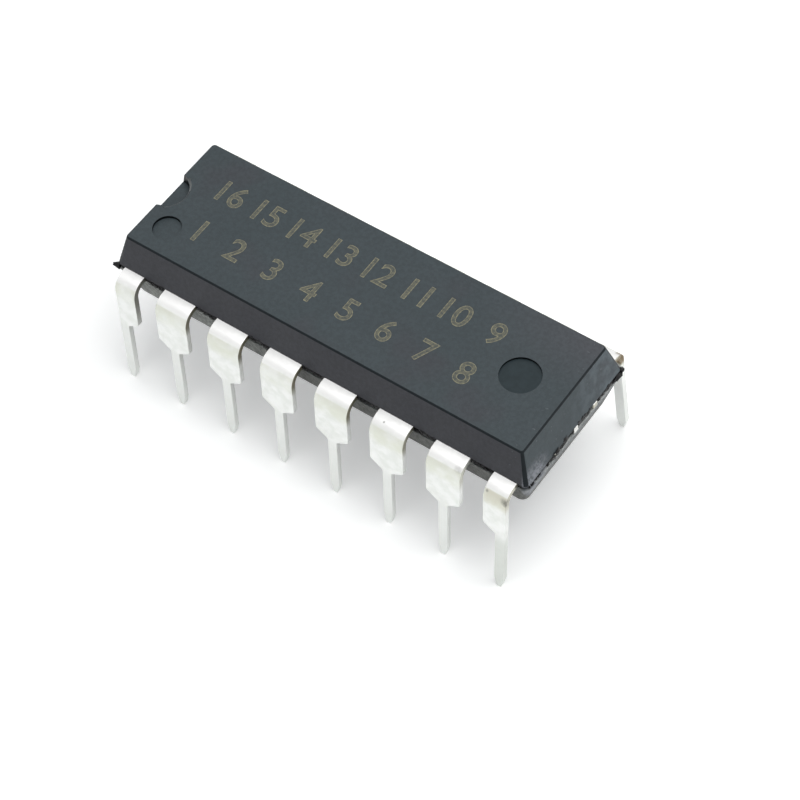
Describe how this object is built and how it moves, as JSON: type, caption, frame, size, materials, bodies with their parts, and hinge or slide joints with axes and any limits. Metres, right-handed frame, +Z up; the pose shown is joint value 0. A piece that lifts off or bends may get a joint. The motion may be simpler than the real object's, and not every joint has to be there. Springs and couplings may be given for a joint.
{
  "type": "dual in-line integrated circuit package",
  "caption": "Dual in-line chip package: a moulded body with an end notch and two rows of bent, tinned leads that plug into a board or socket.",
  "frame": {"origin": "centre of the outline at the level of the legs' tips", "axes": "+X along the body, away from the notch; +Y across it, towards the row of leads 9 to 16; +Z up, out of the marked face"},
  "size_m": [0.0192, 0.0088, 0.0071],
  "materials": {
    "moulded_epoxy": "fine matt moulded epoxy, nearly black with a slate tone",
    "tinned_lead": "satin tin plating on copper alloy",
    "lead_frame_alloy": "plain rolled copper alloy",
    "silver_adhesive": "silver-filled adhesive, cured",
    "silicon": "polished silicon",
    "gold_wire": "drawn gold wire"
  },
  "bodies": {
    "root": {"package_body": "moulded_epoxy", "lead_1": "tinned_lead", "lead_2": "tinned_lead", "lead_3": "tinned_lead", "lead_4": "tinned_lead", "lead_5": "tinned_lead", "lead_6": "tinned_lead", "lead_7": "tinned_lead", "lead_8": "tinned_lead", "lead_9": "tinned_lead", "lead_10": "tinned_lead", "lead_11": "tinned_lead", "lead_12": "tinned_lead", "lead_13": "tinned_lead", "lead_14": "tinned_lead", "lead_15": "tinned_lead", "lead_16": "tinned_lead", "die_pad": "lead_frame_alloy", "die_attach": "silver_adhesive", "silicon_die": "silicon", "bond_wire_1": "gold_wire", "bond_wire_2": "gold_wire", "bond_wire_3": "gold_wire", "bond_wire_4": "gold_wire", "bond_wire_5": "gold_wire", "bond_wire_6": "gold_wire", "bond_wire_7": "gold_wire", "bond_wire_8": "gold_wire", "bond_wire_9": "gold_wire", "bond_wire_10": "gold_wire", "bond_wire_11": "gold_wire", "bond_wire_12": "gold_wire", "bond_wire_13": "gold_wire", "bond_wire_14": "gold_wire", "bond_wire_15": "gold_wire", "bond_wire_16": "gold_wire"}
  },
  "joints": []
}
